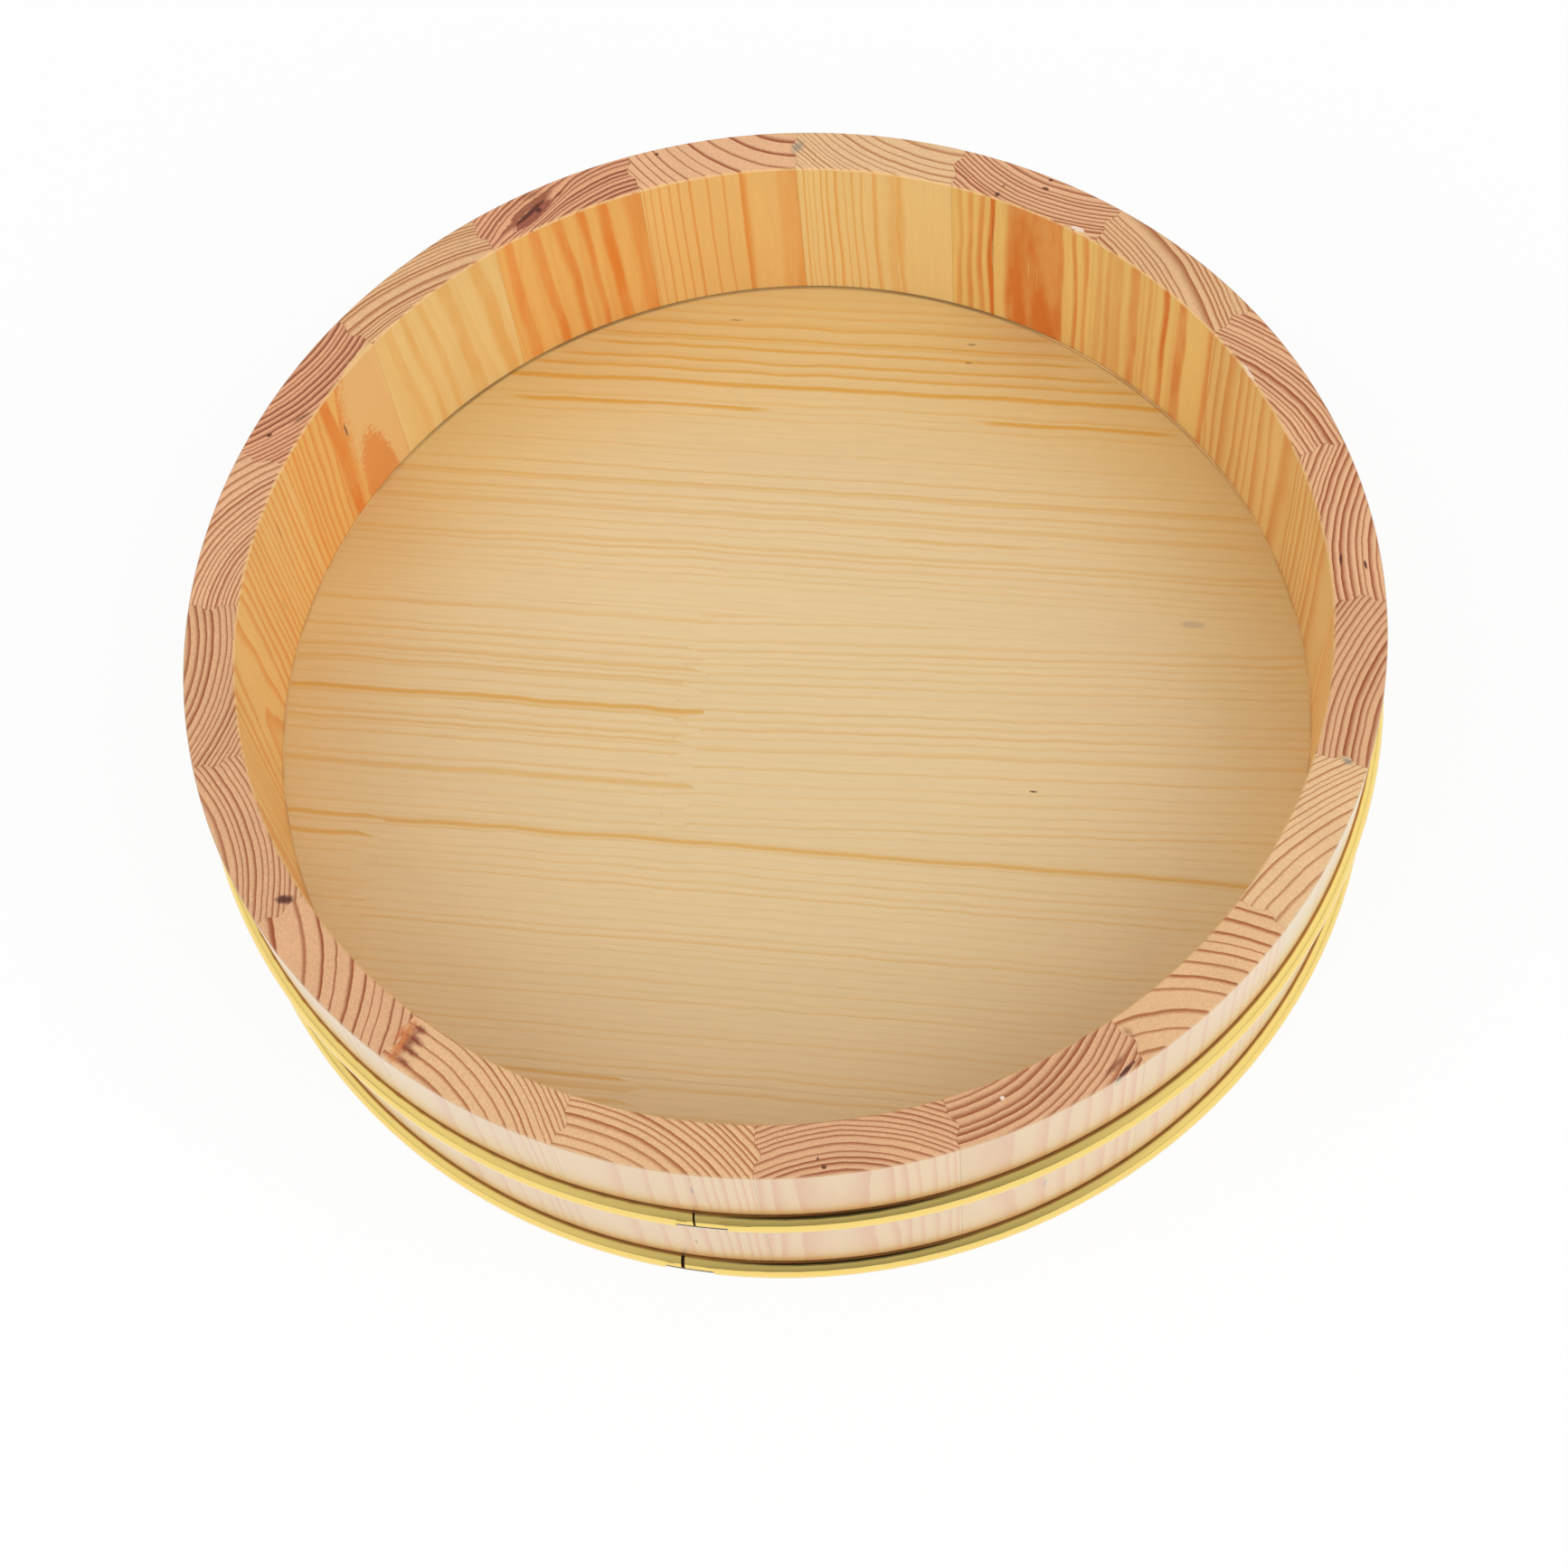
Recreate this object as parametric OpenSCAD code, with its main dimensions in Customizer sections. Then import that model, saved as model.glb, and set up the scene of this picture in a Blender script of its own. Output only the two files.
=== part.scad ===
// Wide, low wooden tub for cooling and dressing rice, held together by two hoops.
// The base stands on z = 0 with the tub's axis on Z. Lengths are millimetres, angles degrees.

/* [Tub] */
// Outside diameter of the wall
tub_d = 330; // [300:1:380]
// Height from the foot to the rim
tub_h = 80; // [80:1:110]
// Thickness of the wall
wall_t = 14.3; // [12:0.1:18]
// Depth from the rim down to the floor
floor_depth = 57.3; // [44:0.1:60]
// Bevel along both edges of the rim
rim_bevel = 0.5; // [0.2:0.1:1.5]
// Bevel along both edges of the foot
foot_bevel = 1.2; // [0.5:0.1:1.5]

/* [Staves] */
// Staves round the wall
stave_count = 20; // [16:1:24]
// Direction of the first joint between two staves
first_joint_a = 8.3; // [0:0.1:18]
// How far a tongue stands out of the edge of its stave
tongue_h = 1.6; // [0.8:0.1:2.5]
// Width of a tongue at its root
tongue_root_w = 6; // [4:0.1:8]
// Width of a tongue at its tip
tongue_tip_w = 1.8; // [0.6:0.1:3.5]
// Depth of a tongue's middle behind the outer face
tongue_in = 6.2; // [5:0.1:7.5]
// Glue line between two glued edges
glue_gap = 0.05; // [0.02:0.01:0.2]

/* [Floor] */
// Thickness of the floor
floor_t = 10; // [8:0.5:16]
// Thickness of the floor's edge, which sits in the groove
edge_t = 6; // [4:0.5:7.5]
// Depth of the groove in the wall
groove_d = 4; // [2.5:0.1:6]
// Gap in the groove above the floor
groove_gap = 0.5; // [0.2:0.1:1]
// Gap between the floor's edge and the bottom of the groove
edge_gap = 0.4; // [0.2:0.1:1.5]
// Gap between the wall and the step under the floor's edge
step_gap = 1; // [0.3:0.1:3]
// Direction that the floor's grain runs in
grain_a = -14.5; // [-90:0.5:90]
// Width of the floor's middle board
board_w = 74.3; // [60:0.1:90]
// Distance of the middle board's back edge from the tub's axis
middle_edge = 28.7; // [10:0.1:40]
// Share of the floor behind the middle board that the next board takes
far_share = 0.592; // [0.4:0.001:0.75]
// Share of the floor in front of the middle board that the next board takes
near_share = 0.683; // [0.4:0.001:0.8]

/* [Finger joints] */
// Length of the fingers that join two boards end to end
finger_l = 8; // [4:0.5:12]
// Fingers across the width of a board
finger_count = 12; // [4:1:16]
// Flat at the tip of a finger
finger_tip = 0.8; // [0.4:0.1:1.6]
// Place of the middle board's finger joint, as a share of the floor's radius
middle_joint = -0.19; // [-0.6:0.01:0.6]
// Place of the finger joint in the board in front of it
near_joint = -0.76; // [-0.76:0.01:0.6]
// Place of the front board's finger joint
front_joint = -0.2; // [-0.3:0.01:0.3]

/* [Hoops] */
// Height of a hoop
hoop_w = 8; // [6:0.1:11]
// How far a hoop stands out from the wall
hoop_t = 3.2; // [2.6:0.1:4.5]
// Thickness of a hoop's metal
hoop_sheet = 0.8; // [0.5:0.1:1]
// Distance from the rim down to the upper hoop
upper_drop = 29.6; // [10:0.1:50]
// Distance from the foot up to the lower hoop
lower_rise = 2; // [1.6:0.1:10]
// Room between a hoop and the wall
hoop_fit = 0.05; // [0.02:0.01:0.2]
// Direction of the upper hoop's seam
upper_seam_a = 254.4; // [0:0.1:360]
// Direction of the lower hoop's seam
lower_seam_a = 251.9; // [0:0.1:360]
// Width of the upper hoop's seam
upper_seam_gap = 0.6; // [0.2:0.1:1.5]
// Width of the lower hoop's seam
lower_seam_gap = 1; // [0.2:0.1:1.5]
// Degrees that the upper hoop's seam leans from upright
upper_seam_lean = 10; // [-20:1:20]
// Degrees that the lower hoop's seam leans from upright
lower_seam_lean = 6; // [-20:1:20]

/* [Hoop clips] */
// Length of the clip inside a hoop's two ends
clip_l = 30; // [24:1:60]
// Thickness of a clip's metal
clip_t = 0.6; // [0.4:0.1:0.8]
// Room round a clip in its hoop
clip_gap = 0.3; // [0.2:0.05:0.5]
// Length of the window in the hoop before the seam
window_before = 5.2; // [2:0.1:8]
// Length of the window in the hoop after the seam
window_after = 8.3; // [2:0.1:10]
// Height of the window's top edge above the middle of the hoop
window_top = 1.3; // [-0.5:0.1:1.5]

/* [Hidden] */
$fn = 120;
tub_r = tub_d / 2;
inner_r = tub_r - wall_t;
floor_z = tub_h - floor_depth;
stave_a = 360 / stave_count;
// Far enough out for a straight cut between two joints to clear the round wall
cut_r = tub_r / cos(stave_a / 2) + 1;
cut_in_r = inner_r - 2;
// Levels of the groove and of the step under the floor's edge
groove_z0 = floor_z - edge_t;
groove_z1 = floor_z + groove_gap;
floor_r = inner_r + groove_d - edge_gap;
step_r = inner_r - step_gap;
floor_bottom_z = floor_z - floor_t;
// Circle that carries a hoop's round face through both its edges
hoop_r = (pow(hoop_w / 2, 2) + pow(hoop_t, 2)) / (2 * hoop_t);
hoop_x = tub_r + hoop_t - hoop_r;
lip_r = tub_r + hoop_fit;
upper_z = tub_h - upper_drop - hoop_w / 2;
lower_z = lower_rise + hoop_w / 2;
finger_pitch = board_w / finger_count;
// Edges between the floor's strips, from the back to the front
far_edge = middle_edge + far_share * (floor_r - middle_edge);
near_edge = middle_edge - board_w;
front_edge = near_edge - near_share * (floor_r + near_edge);

wood = [0.85, 0.64, 0.42];
floor_wood = [0.87, 0.74, 0.52];
gold_metal = [0.85, 0.70, 0.30];
dark_steel = [0.25, 0.23, 0.22];

function stave_name(i) = str("stave_", i < 10 ? "0" : "", i);

// Point at distance r from the axis in direction a, moved sideways by s
function polar(r, a, s) = [r * cos(a) - s * sin(a), r * sin(a) + s * cos(a)];

// Edge of a stave from outside to inside, with the tongue's outline half way in
function stave_edge(a, shift) = [
    polar(cut_r, a, shift),
    polar(tub_r - tongue_in + tongue_root_w / 2, a, shift),
    polar(tub_r - tongue_in + tongue_tip_w / 2, a, shift + tongue_h),
    polar(tub_r - tongue_in - tongue_tip_w / 2, a, shift + tongue_h),
    polar(tub_r - tongue_in - tongue_root_w / 2, a, shift),
    polar(cut_in_r, a, shift)
];

function reversed(list) = [for (i = [len(list) - 1:-1:0]) list[i]];

// Zigzag of a finger joint at x = u, across the strip between v0 and v1.
// The outer board's fingers point at the middle, and a finger that would have
// its root outside the round floor is left out.
function finger_line(u, v0, v1, shift) = [
    for (i = [0:ceil((v1 - v0) / finger_pitch) - 1])
        let (out = u < 0 ? -1 : 1)
        let (root = u + out * finger_l / 2)
        let (v = v0 + i * finger_pitch, flat = finger_tip / 2, half = finger_pitch / 2)
        let (tip = norm([root, v + half]) < floor_r - 1 ? u - out * finger_l / 2 : root)
        each [
            [root + shift, v],
            [root + shift, v + flat],
            [tip + shift, v + half - flat],
            [tip + shift, v + half + flat],
            [root + shift, v + finger_pitch - flat]
        ]
];

// Section of the whole wall: bevelled rim and foot, and the groove for the floor
module wall_section() {
    polygon([
        [inner_r + foot_bevel, 0],
        [tub_r - foot_bevel, 0],
        [tub_r, foot_bevel],
        [tub_r, tub_h - rim_bevel],
        [tub_r - rim_bevel, tub_h],
        [inner_r + rim_bevel, tub_h],
        [inner_r, tub_h - rim_bevel],
        [inner_r, groove_z1],
        [inner_r + groove_d, groove_z1],
        [inner_r + groove_d, groove_z0],
        [inner_r, groove_z0],
        [inner_r, foot_bevel]
    ]);
}

// Section of the whole floor, stepped on its underside
module floor_section() {
    polygon([
        [0, floor_bottom_z],
        [step_r, floor_bottom_z],
        [step_r, groove_z0],
        [floor_r, groove_z0],
        [floor_r, floor_z],
        [0, floor_z]
    ]);
}

// One stave: the wall between two joints, with a groove on one edge and a tongue on the other
module stave(i) {
    a0 = first_joint_a + (i - 1) * stave_a;
    a1 = a0 + stave_a;
    color(wood)
    intersection() {
        rotate_extrude() wall_section();
        translate([0, 0, -1])
        linear_extrude(tub_h + 2)
        polygon(concat(stave_edge(a0, glue_gap / 2), reversed(stave_edge(a1, -glue_gap / 2))));
    }
}

// Part of the round floor inside an outline drawn along the grain
module floor_piece(outline) {
    color(floor_wood)
    intersection() {
        rotate_extrude() floor_section();
        rotate([0, 0, grain_a])
        translate([0, 0, floor_bottom_z - 1])
        linear_extrude(floor_t + 2)
        polygon(outline);
    }
}

// Whole board between two edges across the grain
module plain_board(v0, v1) {
    floor_piece([[-tub_r, v0], [tub_r, v0], [tub_r, v1], [-tub_r, v1]]);
}

// The two halves of a board that is finger jointed at x = u
module left_board(u, v0, v1) {
    line = finger_line(u, v0, v1, -glue_gap / 2);
    floor_piece(concat([[-tub_r, v1], [-tub_r, v0]], [for (p = line) [p[0], min(p[1], v1)]]));
}

module right_board(u, v0, v1) {
    line = finger_line(u, v0, v1, glue_gap / 2);
    floor_piece(concat([[tub_r, v1], [tub_r, v0]], [for (p = line) [p[0], min(p[1], v1)]]));
}

module floor_back() {
    plain_board(far_edge + glue_gap / 2, tub_r);
}

module floor_far() {
    plain_board(middle_edge + glue_gap / 2, far_edge - glue_gap / 2);
}

module floor_middle_left() {
    left_board(middle_joint * floor_r, near_edge + glue_gap / 2, middle_edge - glue_gap / 2);
}

module floor_middle_right() {
    right_board(middle_joint * floor_r, near_edge + glue_gap / 2, middle_edge - glue_gap / 2);
}

module floor_near_left() {
    left_board(near_joint * floor_r, front_edge + glue_gap / 2, near_edge - glue_gap / 2);
}

module floor_near_right() {
    right_board(near_joint * floor_r, front_edge + glue_gap / 2, near_edge - glue_gap / 2);
}

module floor_front_left() {
    left_board(front_joint * floor_r, front_edge - board_w, front_edge - glue_gap / 2);
}

module floor_front_right() {
    right_board(front_joint * floor_r, front_edge - board_w, front_edge - glue_gap / 2);
}

// Half round section of bent metal, open towards the wall
module half_round(outer_r, sheet, z) {
    intersection() {
        difference() {
            translate([hoop_x, z]) circle(outer_r);
            translate([hoop_x, z]) circle(outer_r - sheet);
        }
        translate([lip_r, z - hoop_w]) square([hoop_w, 2 * hoop_w]);
    }
}

// Degrees that a length along the wall spans
function span(l) = l / tub_r * 180 / PI;

// Lower front of a hoop beside its seam, as a ring sector of section. It lies
// between two radii of the section and outside the distance x0 from the tub's axis.
module window(z, a, before, after, top, r0, r1, x0) {
    rotate([0, 0, a - span(before)])
    rotate_extrude(angle = span(before + after))
    intersection() {
        difference() {
            translate([hoop_x, z]) circle(r1);
            translate([hoop_x, z]) circle(r0);
        }
        translate([x0, z - hoop_w]) square([hoop_w, hoop_w + top]);
    }
}

// Hoop of half round section, with its ends butted at direction a over a clip
module hoop(z, a, gap, lean) {
    color(gold_metal)
    difference() {
        rotate_extrude() half_round(hoop_r, hoop_sheet, z);
        rotate([0, 0, a])
        translate([tub_r - 1, 0, z])
        rotate([lean, 0, 0])
        translate([0, -gap / 2, -hoop_w])
        cube([hoop_t + 2, gap, 2 * hoop_w]);
        window(z, a, window_before, window_after, window_top,
            hoop_r - hoop_sheet - 1, hoop_r + 1, tub_r - 1);
    }
}

// Clip that joins a hoop's ends from inside and shows in the window beside the seam
module clip(z, a) {
    clip_r = hoop_r - hoop_sheet - clip_gap;
    color(dark_steel)
    union() {
        rotate([0, 0, a - span(clip_l / 2)])
        rotate_extrude(angle = span(clip_l))
        half_round(clip_r, clip_t, z);
        window(z, a, window_before - clip_gap, window_after - clip_gap,
            window_top - clip_gap, clip_r - clip_t / 2, hoop_r - clip_gap, lip_r + clip_gap);
    }
}

module upper_hoop() {
    hoop(upper_z, upper_seam_a, upper_seam_gap, upper_seam_lean);
}

module lower_hoop() {
    hoop(lower_z, lower_seam_a, lower_seam_gap, lower_seam_lean);
}

module upper_clip() {
    clip(upper_z, upper_seam_a);
}

module lower_clip() {
    clip(lower_z, lower_seam_a);
}

for (i = [1:stave_count])
    stave(i);
floor_back();
floor_far();
floor_middle_left();
floor_middle_right();
floor_near_left();
floor_near_right();
floor_front_left();
floor_front_right();
upper_hoop();
lower_hoop();
upper_clip();
lower_clip();
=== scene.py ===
"""Looks of a wide, low wooden rice tub: coopered staves, a board floor and two brass hoops."""
import math

import bpy
import numpy as np
from mathutils import Matrix, Vector


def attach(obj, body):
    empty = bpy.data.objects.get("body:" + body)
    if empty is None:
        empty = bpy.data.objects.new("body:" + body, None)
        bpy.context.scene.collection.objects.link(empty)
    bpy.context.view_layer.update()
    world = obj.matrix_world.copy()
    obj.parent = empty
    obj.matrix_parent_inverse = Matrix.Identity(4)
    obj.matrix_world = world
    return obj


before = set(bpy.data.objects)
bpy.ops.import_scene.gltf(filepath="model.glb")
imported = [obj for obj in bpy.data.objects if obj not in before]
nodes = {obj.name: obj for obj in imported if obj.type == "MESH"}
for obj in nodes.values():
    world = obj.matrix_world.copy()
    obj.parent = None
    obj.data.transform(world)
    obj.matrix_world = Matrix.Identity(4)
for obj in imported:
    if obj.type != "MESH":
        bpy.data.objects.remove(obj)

bpy.context.view_layer.update()
scene = bpy.context.scene


# Table, light and camera
# A large sheet of white paper that the tub stands on, a wide softbox before it on the right,
# a weaker one on the left, and a grey room with pale sides and a dark camera stand.

def add(tree, kind, **settings):
    """One shader node of this kind, with these properties set."""
    made = tree.nodes.new(kind)
    for name, value in settings.items():
        setattr(made, name, value)
    return made


def feed(tree, socket, value):
    """Joins an output socket to the input, or writes a plain value into it."""
    if isinstance(value, bpy.types.NodeSocket):
        tree.links.new(value, socket)
    else:
        socket.default_value = value


def calc(tree, operation, *values):
    """Output of a Math node with these inputs."""
    made = add(tree, "ShaderNodeMath", operation=operation)
    for socket, value in zip(made.inputs, values):
        feed(tree, socket, value)
    return made.outputs[0]


def rise(tree, value, low, high, start=0.0, end=1.0):
    """Smooth step from start at value = low to end at value = high."""
    made = add(tree, "ShaderNodeMapRange", interpolation_type="SMOOTHSTEP")
    for socket, given in zip(made.inputs, (value, low, high, start, end)):
        feed(tree, socket, given)
    return made.outputs[0]


def blend(tree, share, first, second, kind="MIX"):
    """Colour that goes from first to second as share goes from 0 to 1."""
    made = add(tree, "ShaderNodeMix", data_type="RGBA", blend_type=kind)
    for name, value in (("Factor_Float", share), ("A_Color", first), ("B_Color", second)):
        feed(tree, next(s for s in made.inputs if s.identifier == name), value)
    return next(s for s in made.outputs if s.identifier == "Result_Color")


def swatch(red, green, blue):
    """Colour given in the 0 to 255 steps of a screen, turned into amounts of light."""
    steps = np.array([red, green, blue]) / 255
    return (*((steps + 0.055) / 1.055) ** 2.4, 1.0)


def new_material(name):
    """Empty material with its tree and its Principled shader."""
    material = bpy.data.materials.new(name)
    material.use_nodes = True
    tree = material.node_tree
    tree.nodes.clear()
    shader = add(tree, "ShaderNodeBsdfPrincipled")
    tree.links.new(shader.outputs[0], add(tree, "ShaderNodeOutputMaterial").inputs["Surface"])
    return material, tree, shader


def new_mesh(name, points, faces):
    """Flat faced object from an array of points and rows of corner numbers, at the origin."""
    mesh = bpy.data.meshes.new(name)
    corners = [[int(corner) for corner in face] for face in faces]
    mesh.from_pydata(np.asarray(points).tolist(), [], corners)
    mesh.update()
    made = bpy.data.objects.new(name, mesh)
    scene.collection.objects.link(made)
    return made


def paper_material():
    """White paper that keeps a soft shadow and shows as white in lacquer and metal too."""
    material, tree, paper = new_material("white_paper")
    paper.inputs["Base Color"].default_value = swatch(250, 250, 250)
    paper.inputs["Roughness"].default_value = 0.9
    paper.inputs["Specular IOR Level"].default_value = 0.1
    glow = add(tree, "ShaderNodeEmission")
    rays = add(tree, "ShaderNodeLightPath")
    seen = calc(tree, "MAXIMUM", rays.outputs["Is Camera Ray"], rays.outputs["Is Glossy Ray"])
    both = add(tree, "ShaderNodeMixShader")
    tree.links.new(calc(tree, "MULTIPLY", seen, paper_glow), both.inputs[0])
    tree.links.new(paper.outputs[0], both.inputs[1])
    tree.links.new(glow.outputs[0], both.inputs[2])
    out = next(n for n in tree.nodes if n.type == "OUTPUT_MATERIAL")
    tree.links.new(both.outputs[0], out.inputs["Surface"])
    return material


paper_glow = 0.9
paper_half = 6.0
paper_xy = paper_half * np.array([[-1, -1], [1, -1], [1, 1], [-1, 1]])
paper_sheet = new_mesh("paper_sheet", np.c_[paper_xy, np.zeros(4)], [[0, 1, 2, 3]])
paper_sheet.data.materials.append(paper_material())


def softbox(name, azimuth, elevation, distance, size, power):
    """Square lamp that faces the tub from this direction. Metal and lacquer don't mirror it."""
    lamp = bpy.data.lights.new(name, "AREA")
    lamp.shape = "SQUARE"
    lamp.size = size
    lamp.energy = power
    made = bpy.data.objects.new(name, lamp)
    scene.collection.objects.link(made)
    a, e = math.radians(azimuth), math.radians(elevation)
    place = distance * Vector((math.cos(a) * math.cos(e), math.sin(a) * math.cos(e), math.sin(e)))
    made.location = place
    made.rotation_euler = place.to_track_quat("Z", "Y").to_euler()
    made.visible_glossy = False
    return made


softbox("right_softbox", -52, 42, 4.0, 4.0, 77)
softbox("left_softbox", 205, 40, 4.0, 3.6, 45)


def room():
    """White to the camera. For light and in reflections it is grey, darker along the
    horizon, lighter at both sides, and nearly black where the camera and its stand are. For
    reflections only, a wide pale patch stands for the softbox on the right."""
    world = bpy.data.worlds.new("room")
    scene.world = world
    world.use_nodes = True
    tree = world.node_tree
    tree.nodes.clear()
    back = add(tree, "ShaderNodeBackground")
    split = add(tree, "ShaderNodeSeparateXYZ")
    ray = add(tree, "ShaderNodeTexCoord").outputs["Generated"]
    tree.links.new(ray, split.inputs[0])
    height = split.outputs["Z"]
    side = rise(tree, calc(tree, "ABSOLUTE", split.outputs["X"]), 0.2, 0.9, 0.0, 0.45)
    level = calc(tree, "ADD", side, rise(tree, height, 0.1, 0.9, 0.36, 0.52))
    level = calc(tree, "MULTIPLY", level, rise(tree, height, 0.0, 0.1, 0.25, 1.0))
    to_camera = add(tree, "ShaderNodeVectorMath", operation="DOT_PRODUCT")
    tree.links.new(ray, to_camera.inputs[0])
    to_camera.inputs[1].default_value = (-0.04, -0.50, 0.865)
    stand = rise(tree, to_camera.outputs["Value"], 0.970, 0.988, 1.0, 0.06)
    level = calc(tree, "MULTIPLY", level, stand)
    rays = add(tree, "ShaderNodeLightPath")
    patch = rise(tree, split.outputs["X"], 0.4, 0.7, 0.0, 0.12)
    level = calc(tree, "MULTIPLY_ADD", patch, rays.outputs["Is Glossy Ray"], level)
    colour = blend(tree, rays.outputs["Is Camera Ray"], level, (1, 1, 1, 1))
    tree.links.new(colour, back.inputs["Color"])
    tree.links.new(back.outputs[0], add(tree, "ShaderNodeOutputWorld").inputs["Surface"])


room()


camera_place = (-0.00561, -0.38099, 0.7148)
camera_elevation = 62.861
camera_tilt = -8.614
camera_focal_length = 61.79


def photo_camera():
    """Camera before the tub, looking down at its elevation and tilted about its own axis."""
    lens = bpy.data.cameras.new("camera")
    lens.lens = camera_focal_length
    lens.sensor_width = 36
    lens.sensor_fit = "HORIZONTAL"
    lens.clip_start = 0.01
    lens.clip_end = 50
    made = bpy.data.objects.new("camera", lens)
    scene.collection.objects.link(made)
    elevation, tilt = math.radians(camera_elevation), math.radians(camera_tilt)
    level_right = Vector((1, 0, 0))
    level_up = Vector((0, math.sin(elevation), math.cos(elevation)))
    right = math.cos(tilt) * level_right + math.sin(tilt) * level_up
    up = math.cos(tilt) * level_up - math.sin(tilt) * level_right
    turn = Matrix((right, up, right.cross(up))).transposed().to_4x4()
    made.matrix_world = Matrix.Translation(camera_place) @ turn
    scene.camera = made


photo_camera()
scene.view_settings.view_transform = "Standard"


# Staves
# Twenty staves of pine, each a slice of its own log with the grain upright. Planed,
# glued edge to edge with tongue and groove, clear lacquered, with bare end grain on the rim.

def new_group(name, inputs, outputs):
    """Node group with these sockets: name, kind and, for an input, its usual value."""
    tree = bpy.data.node_groups.new(name, "ShaderNodeTree")
    for label, kind, value in inputs:
        made = tree.interface.new_socket(label, in_out="INPUT", socket_type="NodeSocket" + kind)
        if value is not None:
            made.default_value = value
    for label, kind in outputs:
        tree.interface.new_socket(label, in_out="OUTPUT", socket_type="NodeSocket" + kind)
    return tree, add(tree, "NodeGroupInput").outputs, add(tree, "NodeGroupOutput").inputs


def use_group(tree, group, **values):
    """The group as a node, with these inputs filled. A name's underscores are spaces."""
    made = add(tree, "ShaderNodeGroup", node_tree=group)
    for name, value in values.items():
        feed(tree, made.inputs[name.replace("_", " ")], value)
    return made.outputs


def vector(tree, operation, *values):
    """Output of a Vector Math node: a vector, or a number for LENGTH and the like."""
    made = add(tree, "ShaderNodeVectorMath", operation=operation)
    for socket, value in zip(made.inputs, values):
        feed(tree, socket, value)
    if operation in ("LENGTH", "DISTANCE", "DOT_PRODUCT"):
        return made.outputs["Value"]
    return made.outputs["Vector"]


def stretch(tree, place, x, y, z):
    """The place with each axis multiplied, so that noise read there is drawn out."""
    return vector(tree, "MULTIPLY", place, (x, y, z))


def combine(tree, x, y, z):
    """Vector of three numbers or sockets."""
    made = add(tree, "ShaderNodeCombineXYZ")
    for socket, value in zip(made.inputs, (x, y, z)):
        feed(tree, socket, value)
    return made.outputs[0]


def cloudy(tree, place, scale, detail=2.0, seed=0.0):
    """Noise from 0 to 1 at a place in millimetres."""
    made = add(tree, "ShaderNodeTexNoise", noise_dimensions="4D")
    feed(tree, made.inputs["Vector"], place)
    made.inputs["Scale"].default_value = scale
    made.inputs["Detail"].default_value = detail
    feed(tree, made.inputs["W"], seed)
    return made.outputs["Fac"]


def growth_rings():
    """Growth rings round a pith. The distance from the pith, bent by noise, is counted in
    years, with fewer years round the depth Broad At. In each year the wood darkens towards
    its end and then starts pale again."""
    tree, take, give = new_group(
        "growth_rings",
        [("Place", "Vector", None), ("Pith", "Vector", None), ("Lean", "Vector", None),
         ("Spacing", "Float", 2.0), ("Narrowing", "Float", 0.0), ("Phase", "Float", 0.0),
         ("Waver", "Float", 1.0), ("Swell", "Float", 0.0), ("Late Share", "Float", 0.5),
         ("Broad At", "Float", 0.0), ("Broad", "Float", 0.0), ("Seed", "Float", 0.0)],
        [("Late", "Float"), ("Year", "Float")])
    split = add(tree, "ShaderNodeSeparateXYZ")
    feed(tree, split.inputs[0], take["Place"])
    drop = calc(tree, "MULTIPLY_ADD", split.outputs["Z"], 0.01, -0.8)
    leaning = add(tree, "ShaderNodeVectorMath", operation="SCALE")
    feed(tree, leaning.inputs[0], take["Lean"])
    feed(tree, leaning.inputs["Scale"], drop)
    pith = vector(tree, "ADD", take["Pith"], leaning.outputs["Vector"])
    away = stretch(tree, vector(tree, "SUBTRACT", take["Place"], pith), 1, 1, 0)
    middle = vector(tree, "LENGTH", stretch(tree, take["Pith"], 1, 1, 0))
    depth = calc(tree, "SUBTRACT", vector(tree, "LENGTH", away), middle)
    slow = cloudy(tree, stretch(tree, take["Place"], 1, 1, 0.35), 0.045, 1.0, take["Seed"])
    quick = cloudy(tree, stretch(tree, take["Place"], 1, 1, 0.25), 0.22, 2.0, take["Seed"])
    bend = calc(tree, "ADD", calc(tree, "MULTIPLY_ADD", slow, 5.0, -2.5),
                calc(tree, "MULTIPLY_ADD", quick, 1.4, -0.7))
    bent = calc(tree, "MULTIPLY_ADD", bend, take["Waver"], calc(tree, "ADD", depth, take["Swell"]))
    half_square = calc(tree, "MULTIPLY", calc(tree, "MULTIPLY", bent, bent), 0.5)
    count = calc(tree, "MULTIPLY_ADD", half_square, take["Narrowing"],
                 calc(tree, "DIVIDE", bent, take["Spacing"]))
    past = rise(tree, calc(tree, "SUBTRACT", bent, take["Broad At"]), -4.0, 4.0)
    count = calc(tree, "SUBTRACT", count, calc(tree, "MULTIPLY", past, take["Broad"]))
    uneven = cloudy(tree, combine(tree, count, 0.0, 0.0), 0.4, 0.0, take["Seed"])
    count = calc(tree, "ADD", calc(tree, "MULTIPLY_ADD", uneven, 1.3, count), take["Phase"])
    year = add(tree, "ShaderNodeTexWhiteNoise", noise_dimensions="1D")
    feed(tree, year.inputs["W"], calc(tree, "ADD", calc(tree, "FLOOR", count), take["Seed"]))
    part = calc(tree, "FRACT", count)
    wide = calc(tree, "MULTIPLY_ADD", year.outputs["Value"], 0.8, 0.8)
    start = calc(tree, "SUBTRACT", 0.95, calc(tree, "MULTIPLY", take["Late Share"], wide))
    late = calc(tree, "MULTIPLY", rise(tree, part, start, 0.9),
                rise(tree, part, 0.92, 1.0, 1.0, 0.0))
    feed(tree, give["Late"], late)
    feed(tree, give["Year"], year.outputs["Value"])
    return tree


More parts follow.
